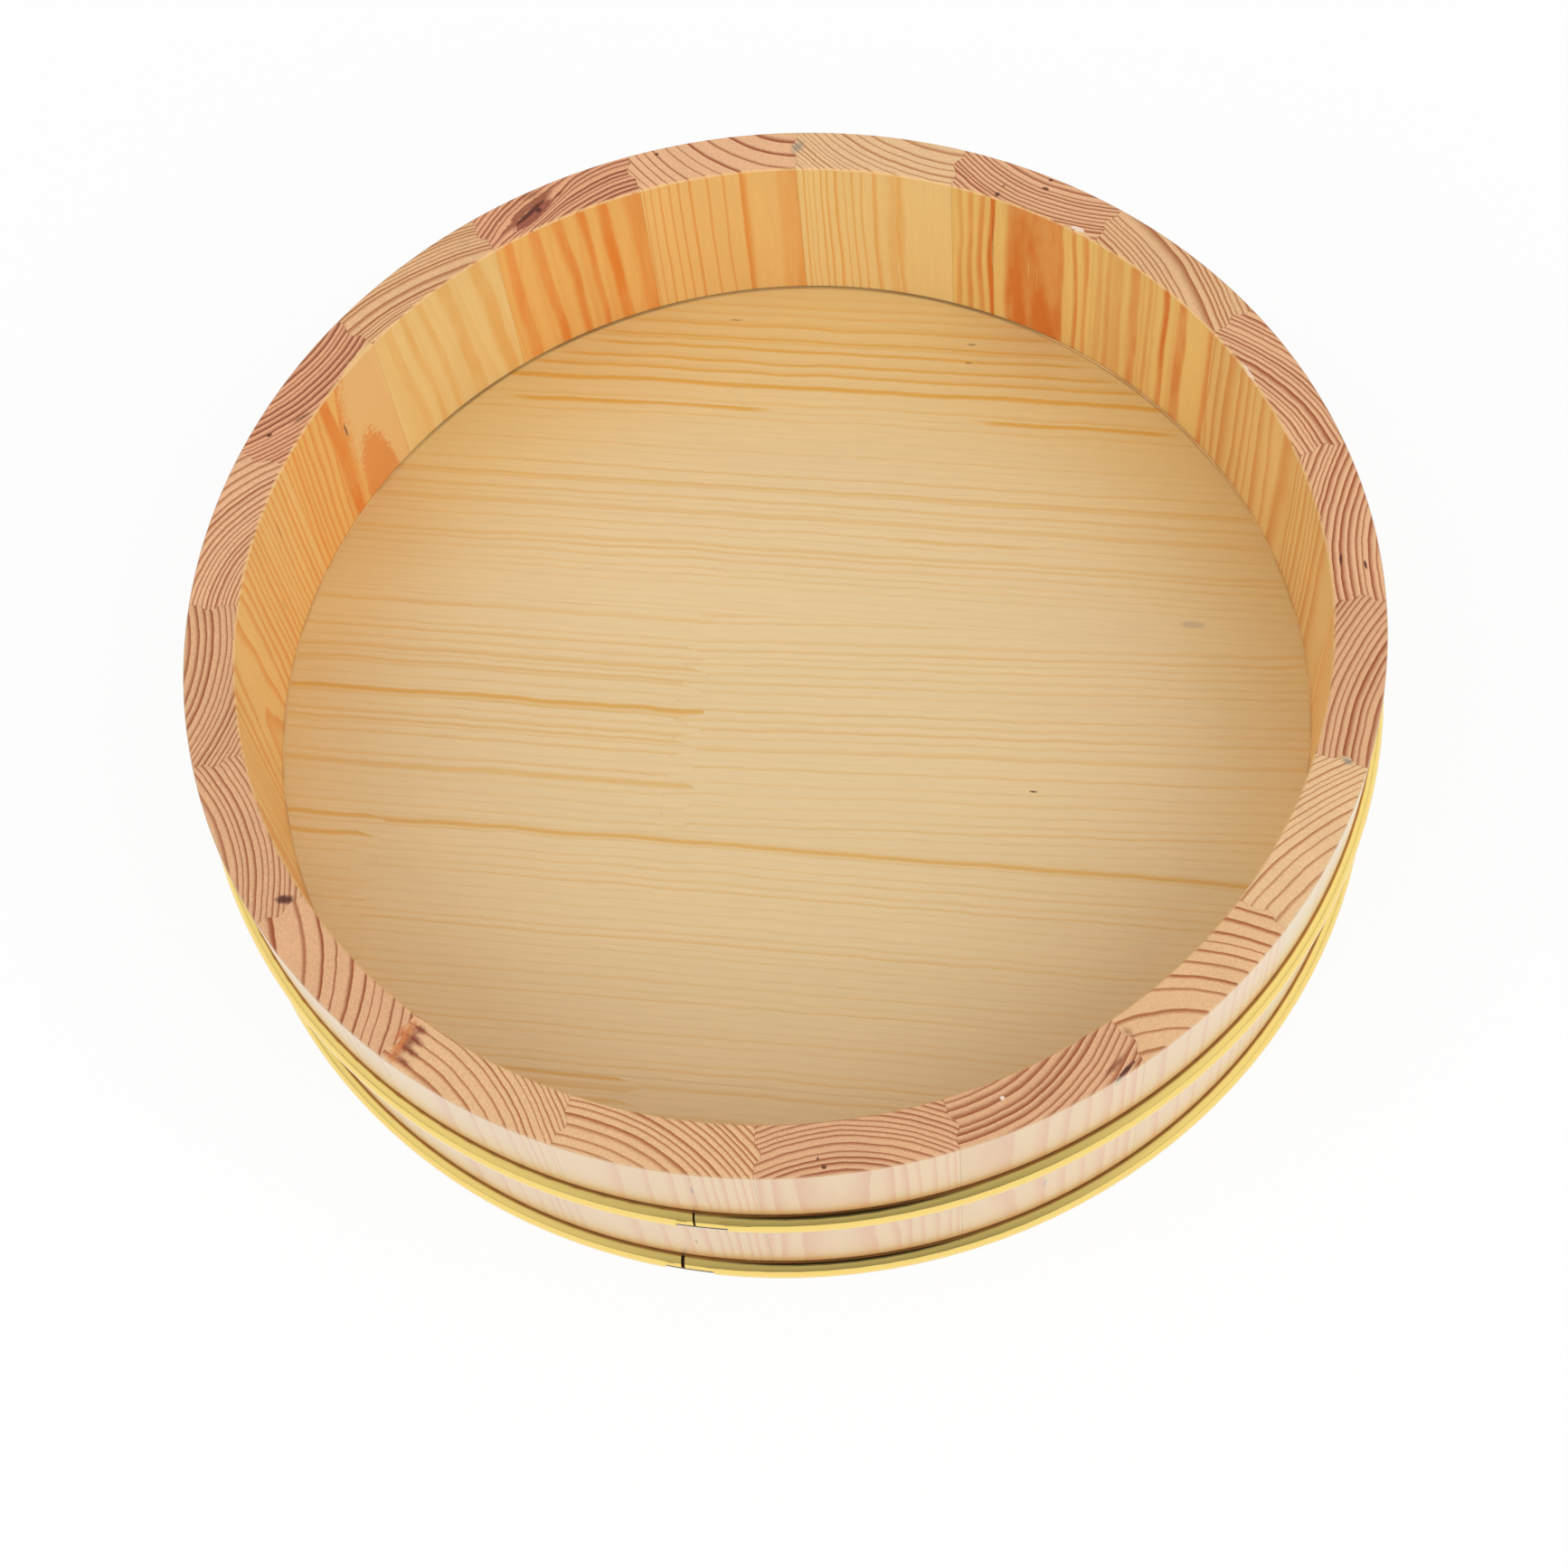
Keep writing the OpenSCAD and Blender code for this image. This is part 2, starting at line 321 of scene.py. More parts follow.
def spot_mark():
    """Mask of one small mark: 1 inside an oval of this size, with a ragged soft edge."""
    tree, take, give = new_group(
        "spot_mark",
        [("Place", "Vector", None), ("Centre", "Vector", None), ("Turn", "Vector", None),
         ("Size", "Vector", None), ("Softness", "Float", 0.5), ("Seed", "Float", 0.0)],
        [("Mask", "Float"), ("Swell", "Float")])
    turn = add(tree, "ShaderNodeVectorRotate", rotation_type="EULER_XYZ")
    feed(tree, turn.inputs["Vector"], vector(tree, "SUBTRACT", take["Place"], take["Centre"]))
    feed(tree, turn.inputs["Rotation"], take["Turn"])
    reach = vector(tree, "LENGTH", vector(tree, "DIVIDE", turn.outputs[0], take["Size"]))
    ragged = cloudy(tree, take["Place"], 0.9, 2.0, take["Seed"])
    edge = calc(tree, "MULTIPLY_ADD", ragged, 0.7, calc(tree, "SUBTRACT", reach, 0.35))
    inner = calc(tree, "SUBTRACT", 1.0, take["Softness"])
    feed(tree, give["Mask"], rise(tree, edge, inner, 1.0, 1.0, 0.0))
    feed(tree, give["Swell"], rise(tree, reach, 0.0, 2.2, 1.0, 0.0))
    return tree


rings = growth_rings()
mark = spot_mark()
stave_turn = 18.0
first_joint = 8.3
wall_inner = 150.7
wall_outer = 165.0
rim_height = 80.0

# Looks of the planed and lacquered face: early wood, late wood.
face_woods = {
    "straw": (swatch(240, 208, 140), swatch(232, 170, 82)),
    "honey": (swatch(241, 196, 122), swatch(230, 150, 62)),
    "orange": (swatch(241, 189, 108), swatch(230, 132, 42)),
    "amber": (swatch(237, 200, 120), swatch(216, 116, 32)),
    "dull": (swatch(234, 192, 120), swatch(218, 146, 66)),
}
# Looks of the bare end grain: early wood, late wood.
end_woods = {
    "tan": (swatch(232, 190, 142), swatch(180, 114, 66)),
    "sand": (swatch(228, 182, 134), swatch(168, 96, 50)),
    "rose": (swatch(232, 180, 136), swatch(160, 84, 46)),
    "brown": (swatch(222, 171, 128), swatch(154, 80, 42)),
    "red": (swatch(230, 168, 126), swatch(138, 66, 38)),
}
# One line a stave, from the joint at 8.3 degrees counter-clockwise: pith (clockwise,
# outward), its lean in a height of 100, ring spacing and its narrowing outwards, phase,
# waver, share of late wood, broad rings (depth and amount), face and end.
stave_logs = [
    ((20, -64), (0, 0), 1.60, 0.000, 0.0, 0.5, 0.55, (0, 0), "dull", "rose"),
    ((-33, -105), (0, 0), 1.45, 0.000, 0.0, 0.5, 0.50, (0, 2.9), "amber", "sand"),
    ((3, 59), (0, 0), 1.50, 0.004, 0.0, 0.4, 0.55, (-6, 1.2), "amber", "rose"),
    ((27, 60), (0, 0), 2.30, 0.024, 0.0, 0.4, 0.32, (0, 0), "straw", "tan"),
    ((33, 34), (0, 0), 3.90, 0.009, 0.0, 0.4, 0.22, (0, 0), "honey", "rose"),
    ((17, -60), (-4, 0), 1.60, 0.000, 0.0, 0.5, 0.60, (0, 0), "orange", "red"),
    ((-22, -96), (-7, 0), 1.20, 0.000, 0.0, 0.4, 0.60, (-1, 3.0), "straw", "sand"),
    ((18, 62), (0, 2), 1.50, 0.005, 0.25, 0.4, 0.60, (2, 1.0), "orange", "red"),
    ((-22, -40), (0, 0), 1.55, -0.019, 0.0, 0.4, 0.55, (0, 0), "honey", "rose"),
    ((16, 60), (0, 2), 1.90, 0.020, 0.25, 0.4, 0.50, (0, 0), "honey", "brown"),
    ((6, 62), (0, 0), 1.70, 0.012, 0.0, 0.4, 0.50, (-7, 1.2), "honey", "brown"),
    ((42, 46), (0, 0), 4.00, 0.006, 0.0, 0.5, 0.24, (0, 0), "honey", "brown"),
    ((26, 62), (0, 0), 2.50, 0.022, 0.0, 0.4, 0.32, (0, 0), "honey", "sand"),
    ((26, 60), (0, 0), 2.10, 0.015, 0.0, 0.3, 0.45, (0, 0), "honey", "sand"),
    ((9, 58), (0, 0), 1.65, 0.010, 0.0, 0.4, 0.50, (0, 0), "honey", "brown"),
    ((16, -50), (0, 0), 2.10, 0.008, 0.0, 0.4, 0.60, (0, 0), "honey", "brown"),
    ((36, 28), (0, 0), 4.10, 0.005, 0.0, 0.4, 0.25, (0, 0), "honey", "sand"),
    ((40, 85), (0, 0), 2.60, 0.022, 0.0, 0.4, 0.30, (0, 0), "straw", "tan"),
    ((24, 90), (0, 0), 1.90, 0.010, 0.0, 0.3, 0.55, (0, 0), "honey", "brown"),
    ((28, 85), (0, 0), 1.70, 0.010, 0.0, 0.5, 0.55, (1, 1.0), "dull", "rose"),
]
# Broad bands of late wood that open out on a stave's inner face: how much of its other
# rings shows there, how far the bands lean in a height of 100, and for each its place
# (clockwise), half width and strength.
face_bands = {
    1: (0.9, 0, [(16.5, 1.5, 0.7), (-5.3, 1.2, 0.6)]),
    2: (0.3, 0, [(-21.0, 1.2, 0.4), (-17.6, 1.2, 0.45), (-13.2, 1.2, 0.45), (-7.6, 2.2, 0.7),
                 (-2.6, 1.0, 0.45), (3.7, 1.6, 1.0), (11.0, 2.6, 0.8), (22.3, 1.6, 0.7)]),
    3: (0.1, 0, [(-20.8, 1.0, 0.5), (-17.6, 1.1, 0.6), (-13.9, 1.3, 0.7), (-10.3, 1.0, 1.35),
                 (3.9, 10.2, 0.95), (17.6, 0.9, 0.8), (20.8, 1.0, 0.6)]),
    4: (0.9, 0, [(5.3, 2.2, 0.5)]),
    5: (0.9, 0, [(20.5, 3.0, 0.5)]),
    6: (0.2, 4, [(-20.3, 2.2, 0.7), (-10.8, 2.3, 0.8), (-2.9, 1.9, 0.8), (3.9, 1.7, 0.8),
                 (11.3, 2.5, 0.9), (20.3, 2.6, 0.7)]),
    7: (0.2, 7, [(-18.4, 2.2, 0.5), (-11.8, 1.6, 0.6), (-5.3, 1.5, 0.5), (3.4, 2.8, 0.6),
                 (16.0, 2.6, 0.65), (21.8, 1.0, 0.3)]),
    8: (0.8, 0, [(-1.3, 2.6, 0.9)]),
}
# Marks on the staves' ends and faces: centre (clockwise, outward, height), size, turn,
# softness, strength, how far rings bulge round it, colour.
bark = swatch(84, 38, 28)
knot_red = swatch(150, 78, 58)
scorch = swatch(122, 52, 20)
singed = swatch(132, 58, 38)
resin = swatch(204, 118, 62)
grey_stain = swatch(140, 138, 124)
pale_wood = swatch(238, 196, 134)
arch_wood = swatch(230, 144, 66)
chip = swatch(250, 226, 208)
bruise = swatch(148, 108, 116)
stave_marks = {
    1: [((-7.0, -7.0, 80), (5.0, 0.7, 0.9), 0, 0.5, 0.9, 0.0, chip)],
    3: [((2.0, 5.8, 80), (0.9, 0.7, 4), 0, 0.5, 0.9, 0.0, bark),
        ((2.0, 2.3, 80), (1.3, 0.7, 4), 0, 0.5, 0.9, 0.0, bark),
        ((-9.8, -5.8, 80), (0.9, 1.0, 4), 0, 0.5, 0.9, 0.0, bark),
        ((-9.6, -2.2, 80), (0.5, 0.5, 4), 0, 0.5, 0.8, 0.0, bark),
        ((-10.4, -7.1, 58), (0.4, 1.2, 24), 0, 0.8, 0.6, 0.0, scorch),
        ((1.6, -7.1, 52), (0.3, 1.2, 6), 0, 0.6, 0.5, 0.0, pale_wood),
        ((4.4, -7.1, 49), (0.3, 1.2, 9), 0, 0.6, 0.4, 0.0, pale_wood),
        ((17.2, -7.0, 80), (2.8, 1.0, 1.2), 0, 0.5, 0.9, 0.0, chip)],
    4: [((-24.5, -0.4, 80), (2.4, 3.6, 6), 20, 0.9, 0.7, 0.0, grey_stain)],
    5: [((-17.2, 4.0, 80), (0.8, 0.9, 4), 0, 0.6, 0.9, 0.0, bark),
        ((24.3, -1.2, 80), (1.6, 2.8, 6), 0, 0.9, 0.6, 0.0, grey_stain)],
    6: [((-8.2, -2.0, 80), (9.0, 2.4, 12), -22, 0.3, 0.9, 4.0, knot_red),
        ((-8.8, -0.8, 80), (8.0, 1.0, 10), -24, 0.5, 0.85, 0.0, bark),
        ((-6.3, -1.2, 80), (1.3, 1.2, 10), 0, 0.5, 0.9, 0.0, bark),
        ((1.2, 1.4, 80), (2.6, 0.6, 6), -20, 0.6, 0.7, 0.0, scorch),
        ((-6.0, 5.0, 80), (5.0, 1.6, 8), -6, 0.9, 0.5, 0.0, scorch)],
    8: [((15.5, -8.2, 50), (15.0, 2.4, 56), 0, 0.3, 0.9, 0.0, pale_wood),
        ((11.2, -7.6, 22.7), (8.2, 2.4, 30), 0, 0.2, 0.85, 0.0, arch_wood),
        ((-17.0, 0.6, 80), (1.1, 0.8, 4), 30, 0.5, 0.9, 0.0, bark),
        ((-7.5, -4.6, 80), (4.5, 0.7, 4), 25, 0.8, 0.7, 0.0, bark),
        ((3.9, -7.1, 60), (0.6, 1.2, 4.2), 0, 0.6, 0.7, 0.0, bark),
        ((19.2, -7.1, 41), (0.5, 1.2, 2.4), 0, 0.6, 0.7, 0.0, bark)],
    9: [((10.5, -7.1, 65), (0.35, 1.2, 6), 0, 0.6, 0.6, 0.0, bark),
        ((-1.8, -7.1, 43), (0.3, 1.2, 4), 0, 0.6, 0.5, 0.0, bark)],
    11: [((-22.6, -4.2, 80), (1.8, 3.8, 6), 30, 0.7, 0.95, 0.0, bark)],
    12: [((-25.0, -3.4, 80), (1.8, 4.6, 8), 0, 0.9, 0.8, 0.0, resin),
         ((-25.4, -4.6, 80), (1.0, 2.6, 6), 0, 0.8, 0.8, 0.0, bark)],
    13: [((22.6, -1.2, 80), (2.6, 9.0, 8), 0, 0.8, 0.9, 0.0, resin),
         ((20.9, -2.4, 80), (2.4, 6.8, 6), 0, 1.2, 0.75, 0.0, singed),
         ((19.6, 3.4, 80), (4.4, 1.2, 6), 12, 1.0, 0.9, 0.0, singed),
         ((19.0, 0.4, 80), (4.2, 1.4, 6), 8, 1.0, 0.9, 0.0, singed),
         ((19.6, -2.8, 80), (3.8, 1.6, 6), 8, 1.0, 0.9, 0.0, singed),
         ((20.0, -5.8, 80), (3.4, 1.6, 6), 0, 1.0, 0.9, 0.0, singed),
         ((20.8, -0.6, 80), (1.5, 3.0, 6), 0, 0.9, 0.3, 0.0, bark)],
    14: [((-9.5, 7.1, 68), (0.5, 1.2, 3.4), 0, 0.5, 0.85, 0.0, scorch),
         ((-6.3, 7.1, 23.7), (0.4, 1.2, 2.2), 0, 0.5, 0.85, 0.0, scorch)],
    15: [((8.0, 4.6, 80), (0.9, 0.7, 4), 0, 0.5, 0.9, 0.0, bark),
         ((9.3, 2.2, 80), (0.5, 0.5, 4), 0, 0.5, 0.8, 0.0, bark)],
    16: [((-20.4, 4.9, 80), (5.0, 0.8, 6), -22, 0.6, 0.95, 0.0, bark),
         ((-18.5, 2.6, 80), (6.4, 1.2, 6), -22, 0.9, 0.8, 0.0, scorch),
         ((-19.5, 7.1, 74), (0.9, 1.2, 5.0), 0, 0.8, 0.7, 0.0, bruise),
         ((2.3, 7.1, 28.5), (0.8, 1.2, 5.0), 0, 0.8, 0.7, 0.0, bruise),
         ((10.3, -2.4, 80), (0.8, 0.7, 4), 0, 0.5, 0.9, 0.0, chip)],
    17: [((23.0, -3.6, 80), (1.4, 2.6, 6), 0, 0.9, 0.5, 0.0, scorch)],
    18: [((-25.3, -0.6, 80), (1.4, 2.4, 6), 0, 0.9, 0.8, 0.0, grey_stain)],
    19: [((24.0, -0.9, 80), (1.2, 2.0, 6), 0, 0.9, 0.7, 0.0, grey_stain)],
    20: [((14.0, 1.9, 80), (2.0, 0.5, 4), 0, 0.5, 0.95, 0.0, bark),
         ((11.4, -4.3, 80), (2.2, 0.5, 4), 10, 0.5, 0.95, 0.0, bark)],
}


def dimmed(tree, colour, level):
    """The colour multiplied by one level."""
    return blend(tree, 1.0, colour, combine(tree, level, level, level), "MULTIPLY")


def opened_bands(tree, late, bands, place, seed):
    """Late wood as it shows on a stave's inner face: the rings, faded, and the broad bands.
    Each band is a swaying lane with soft edges, stronger and weaker along its length."""
    keep, lean, stripes = bands
    split = add(tree, "ShaderNodeSeparateXYZ")
    tree.links.new(place, split.inputs[0])
    sway = cloudy(tree, stretch(tree, place, 1, 1, 0.3), 0.08, 1.0, seed + 3)
    lane = calc(tree, "SUBTRACT", split.outputs["X"], 2.5)
    lane = calc(tree, "MULTIPLY_ADD", sway, 5.0, lane)
    below_rim = calc(tree, "SUBTRACT", rim_height, split.outputs["Z"])
    lane = calc(tree, "MULTIPLY_ADD", below_rim, -0.01 * lean, lane)
    depth = rise(tree, cloudy(tree, stretch(tree, place, 1, 1, 0.22), 0.2, 2.0, seed + 4),
                 0.3, 0.7, 0.62, 1.08)
    shown = calc(tree, "MULTIPLY", late, keep)
    for x, half_width, strength in stripes:
        away = calc(tree, "SUBTRACT", lane, x)
        soft = min(half_width, 2.0)
        left = rise(tree, away, -half_width - 0.4 * soft, -half_width + 0.9 * soft)
        right = rise(tree, away, half_width - 0.6 * soft, half_width + 0.1 * soft, strength, 0.0)
        band = calc(tree, "MULTIPLY", calc(tree, "MULTIPLY", left, right), depth)
        shown = calc(tree, "MAXIMUM", shown, band)
    return shown


def with_painted_crease_light(tree, colour, height, outside):
    """The colour with a painted gold reflection of the brass above each hoop, and a painted brown
    shade in the crease at the hoop.
    """
    for crease in hoop_creases:
        for tint, reach, strength in crease_reflection_and_shade:
            above = calc(tree, "MULTIPLY", rise(tree, height, crease - 0.6, crease),
                         rise(tree, height, crease + 0.5, crease + reach, strength, 0.0))
            colour = blend(tree, calc(tree, "MULTIPLY", above, outside), colour, tint)
    return colour


def finish_stave(tree, wood, end, outside, grain):
    """Lacquer on the faces, thicker outside, and rough bare wood with raised grain at the
    ends."""
    feed(tree, wood.inputs["Roughness"], calc(tree, "MULTIPLY_ADD", end, 0.3, 0.4))
    gloss = calc(tree, "MULTIPLY_ADD", outside, 0.7, 0.3)
    coated = calc(tree, "SUBTRACT", 1.0, end)
    feed(tree, wood.inputs["Coat Weight"], calc(tree, "MULTIPLY", gloss, coated))
    wood.inputs["Coat Roughness"].default_value = 0.28
    wood.inputs["Coat IOR"].default_value = 1.8
    bump = add(tree, "ShaderNodeBump")
    bump.inputs["Distance"].default_value = 0.00012
    bump.inputs["Strength"].default_value = 0.6
    relief = calc(tree, "MULTIPLY", calc(tree, "MULTIPLY_ADD", end, 0.9, 0.1), grain)
    feed(tree, bump.inputs["Height"], relief)
    feed(tree, wood.inputs["Normal"], bump.outputs["Normal"])


def stave_material(number, log, bands, marks):
    """Lacquered pine of one stave: orange late wood on the faces, redder and bare at the
    ends, with the same rings running through all of them."""
    pith, lean, spacing, narrowing, phase, waver, late_share, broad, face_wood, end_wood = log
    material, tree, wood = new_material("stave_%02d_pine" % number)
    to_stave = add(tree, "ShaderNodeMapping")
    spot = add(tree, "ShaderNodeTexCoord").outputs["Object"]
    tree.links.new(spot, to_stave.inputs["Vector"])
    middle = first_joint + stave_turn * (number - 0.5)
    to_stave.inputs["Location"].default_value = (0, -(wall_inner + wall_outer) / 2, 0)
    to_stave.inputs["Rotation"].default_value = (0, 0, math.radians(90 - middle))
    to_stave.inputs["Scale"].default_value = (1000, 1000, 1000)
    place = to_stave.outputs["Vector"]
    seed = number * 3.7

    masks = []
    swell = 0.0
    for centre, size, turn, softness, strength, bulge, tint in marks:
        found = use_group(tree, mark, Place=place, Centre=centre, Size=size,
                          Turn=(0, 0, math.radians(turn)), Softness=softness, Seed=seed)
        masks.append((calc(tree, "MULTIPLY", found["Mask"], strength), tint))
        if bulge:
            swell = calc(tree, "MULTIPLY_ADD", found["Swell"], bulge, swell)
    ring = use_group(tree, rings, Place=place, Pith=(*pith, 0), Lean=(*lean, 0),
                     Spacing=spacing, Narrowing=narrowing, Phase=phase, Waver=waver,
                     Swell=swell, Late_Share=late_share, Broad_At=broad[0], Broad=broad[1],
                     Seed=seed)
    split = add(tree, "ShaderNodeSeparateXYZ")
    tree.links.new(place, split.inputs[0])
    height = split.outputs["Z"]
    radius = calc(tree, "MULTIPLY", vector(tree, "LENGTH", stretch(tree, spot, 1, 1, 0)), 1000)
    inside = rise(tree, radius, wall_inner + 0.1, wall_inner + 0.3, 1.0, 0.0)
    outside = rise(tree, radius, wall_outer - 0.6, wall_outer - 0.2)
    end = calc(tree, "MAXIMUM", rise(tree, height, rim_height - 0.5, rim_height - 0.2),
               rise(tree, height, 0.2, 0.5, 1.0, 0.0))
    late = calc(tree, "MULTIPLY", ring["Late"], calc(tree, "MULTIPLY_ADD", ring["Year"], 0.3, 0.75))
    fibre = cloudy(tree, stretch(tree, place, 1, 1, 0.035), 2.2, 3.0, seed)
    patch = cloudy(tree, stretch(tree, place, 1, 1, 0.25), 0.06, 1.0, seed + 1)
    pores = cloudy(tree, place, 3.5, 2.0, seed)
    grit = cloudy(tree, place, 1.6, 1.0, seed + 2)

    banded = opened_bands(tree, late, bands, place, seed)
    face_late = calc(tree, "ADD", calc(tree, "MULTIPLY", banded, inside),
                     calc(tree, "MULTIPLY", late, calc(tree, "SUBTRACT", 1.0, inside)))
    face = blend(tree, face_late, *face_woods[face_wood])
    cut = blend(tree, late, *end_woods[end_wood])
    colour = blend(tree, end, face, cut)
    speckle = calc(tree, "MULTIPLY_ADD", pores, 0.7, calc(tree, "MULTIPLY_ADD", grit, 0.3, -0.5))
    shade = calc(tree, "ADD", calc(tree, "MULTIPLY_ADD", fibre, 0.14, 0.93),
                 calc(tree, "ADD", calc(tree, "MULTIPLY_ADD", patch, 0.16, -0.08),
                      calc(tree, "MULTIPLY", speckle, end)))
    colour = dimmed(tree, colour, shade)
    for mask, tint in masks:
        colour = blend(tree, mask, colour, tint)
    # Paler in ragged patches on the inner face just under the rim.
    pale_rim_edge = calc(tree, "MULTIPLY", rise(tree, radius, wall_inner + 0.2, wall_inner + 0.8, 1.0, 0.0),
                rise(tree, height, rim_height - 0.9, rim_height - 0.4))
    pale_rim_edge = calc(tree, "MULTIPLY", pale_rim_edge,
                rise(tree, cloudy(tree, place, 0.35, 2.0, seed), 0.4, 0.6, 0.15, 0.8))
    colour = blend(tree, pale_rim_edge, colour, pale_wood)
    # Painted sheen and shade: the outside is paler for the white its lacquer mirrors, and darker
    # against the light that falls on it.
    sheen_amount = calc(tree, "MULTIPLY", outside, outside_sheen_share)
    colour = blend(tree, sheen_amount, colour, outside_sheen_colour)
    colour = dimmed(tree, colour, calc(tree, "MULTIPLY_ADD", outside, -outside_painted_shade, 1.0))
    feed(tree, wood.inputs["Base Color"], with_painted_crease_light(tree, colour, height, outside))
    finish_stave(tree, wood, end, outside, calc(tree, "ADD", late, pores))
    return material


# The wall's outside is painted paler, a painted sheen for the white that its lacquer mirrors,
# and duller, a painted shade against the light that falls on it.
outside_sheen_colour = swatch(240, 214, 190)
outside_sheen_share = 0.25
outside_painted_shade = 0.17
# The wall above each hoop is painted gold, a painted reflection of the brass hoop, and
# brown in the crease at the hoop, a painted shade: colour, how high it reaches and strength.
hoop_creases = (50.4, 10.0)
crease_reflection_and_shade = [(swatch(206, 140, 60), 7.0, 0.7), (swatch(54, 26, 8), 1.7, 0.95)]
for number, log in enumerate(stave_logs, 1):
    bands = face_bands.get(number, (1.0, 0, []))
    pine = stave_material(number, log, bands, stave_marks.get(number, []))
    nodes["stave_%02d" % number].material_slots[0].material = pine


# Floor
# Four glued strips of pale pine, three of them finger jointed, planed flat and clear
# lacquered. They sit in a groove in the wall, and their grain runs at a slant.

floor_grain = -14.5
floor_top = 22.7
floor_edge = 150.2


def board_place(tree):
    """Place in millimetres with x along the floor's grain and y across it."""
    to_board = add(tree, "ShaderNodeMapping")
    tree.links.new(add(tree, "ShaderNodeTexCoord").outputs["Object"], to_board.inputs["Vector"])
    to_board.inputs["Rotation"].default_value = (0, 0, math.radians(-floor_grain))
    to_board.inputs["Scale"].default_value = (1000, 1000, 1000)
    return to_board.outputs["Vector"]


def heavier_rings(tree, late, lines, lane, along):
    """Late wood with heavier rings added, each soft at its sides and its ends."""
    for v, half_width, strength, u0, u1 in lines:
        away = calc(tree, "SUBTRACT", calc(tree, "SUBTRACT", lane, 2.5), v)
        line = rise(tree, calc(tree, "ABSOLUTE", away), half_width * 0.2, half_width,
                    strength, 0.0)
        span = calc(tree, "MULTIPLY", rise(tree, along, u0 - 12, u0),
                    rise(tree, along, u1, u1 + 12, 1.0, 0.0))
        late = calc(tree, "MAXIMUM", late, calc(tree, "MULTIPLY", line, span))
    return late


def board_material(name, seed, spacing, slope, lines, flecks):
    """Board with its grain along x. Each of lines is a heavier ring: place across the
    grain, half width, strength, and where along the grain it starts and ends. Each of
    flecks is a small mark: centre, size, strength and colour."""
    material, tree, wood = new_material(name + "_pine")
    place = board_place(tree)
    split = add(tree, "ShaderNodeSeparateXYZ")
    tree.links.new(place, split.inputs[0])
    along, across = split.outputs["X"], split.outputs["Y"]
    drift = cloudy(tree, stretch(tree, place, 0.12, 1, 1), 0.05, 2.0, seed)
    waves = cloudy(tree, stretch(tree, place, 0.5, 0.5, 1), 0.12, 3.0, seed)
    lane = calc(tree, "MULTIPLY_ADD", drift, 3.0, calc(tree, "MULTIPLY_ADD", along, -slope, across))
    lane = calc(tree, "MULTIPLY_ADD", waves, 2.0, lane)
    ring = use_group(tree, rings, Place=combine(tree, lane, split.outputs["Z"], 0.0),
                     Pith=(260, 60, 0), Spacing=spacing, Waver=0.15, Late_Share=0.4, Seed=seed)
    fading = cloudy(tree, stretch(tree, place, 0.25, 1, 1), 0.06, 1.0, seed + 5)
    faint = calc(tree, "MULTIPLY", calc(tree, "MULTIPLY_ADD", ring["Year"], 0.35, 0.12),
                 calc(tree, "MULTIPLY_ADD", fading, 1.2, 0.4))
    late = heavier_rings(tree, calc(tree, "MULTIPLY", ring["Late"], faint), lines, lane, along)
    fibre = cloudy(tree, stretch(tree, place, 0.05, 1, 1), 1.8, 3.0, seed)
    patch = cloudy(tree, stretch(tree, place, 0.2, 1, 1), 0.03, 1.0, seed)
    # Palest 40 mm before the middle and yellower towards the wall: painted light, for the orange
    # light that the wall throws onto the floor.
    from_palest = vector(tree, "ADD", stretch(tree, place, 1, 1, 0), (0, 40, 0))
    edge = rise(tree, vector(tree, "LENGTH", from_palest), 110, 190)
    early = blend(tree, edge, swatch(230, 203, 154), swatch(224, 193, 130))
    colour = blend(tree, late, early, swatch(218, 168, 78))
    shade = calc(tree, "ADD", calc(tree, "MULTIPLY_ADD", fibre, 0.14, 0.93),
                 calc(tree, "MULTIPLY_ADD", patch, 0.12, -0.06))
    # The front is painted lighter, against the shadow that the wall casts there.
    shade = calc(tree, "MULTIPLY", shade, rise(tree, across, -140, -85, 1.08, 1.0))
    colour = dimmed(tree, colour, shade)
    for centre, size, strength, tint in flecks:
        found = use_group(tree, mark, Place=place, Centre=(*centre, floor_top), Size=(*size, 4),
                          Softness=0.6, Seed=seed)
        colour = blend(tree, calc(tree, "MULTIPLY", found["Mask"], strength), colour, tint)
    # The strips' outer edge is painted brown along the back, a painted shade for the open gap at
    # the wall there.
    radius = vector(tree, "LENGTH", stretch(tree, place, 1, 1, 0))
    gap_shade = calc(tree, "MULTIPLY", rise(tree, radius, floor_edge - 0.6, floor_edge),
               rise(tree, across, 60, 110, 0.0, 0.6))
    gap_shade = calc(tree, "MULTIPLY", gap_shade, rise(tree, fading, 0.3, 0.6, 0.4, 1.0))
    colour = blend(tree, gap_shade, colour, swatch(120, 80, 40))
    feed(tree, wood.inputs["Base Color"], colour)
    wood.inputs["Roughness"].default_value = 0.45
    wood.inputs["Coat Weight"].default_value = 0.3
    wood.inputs["Coat Roughness"].default_value = 0.3
    return material


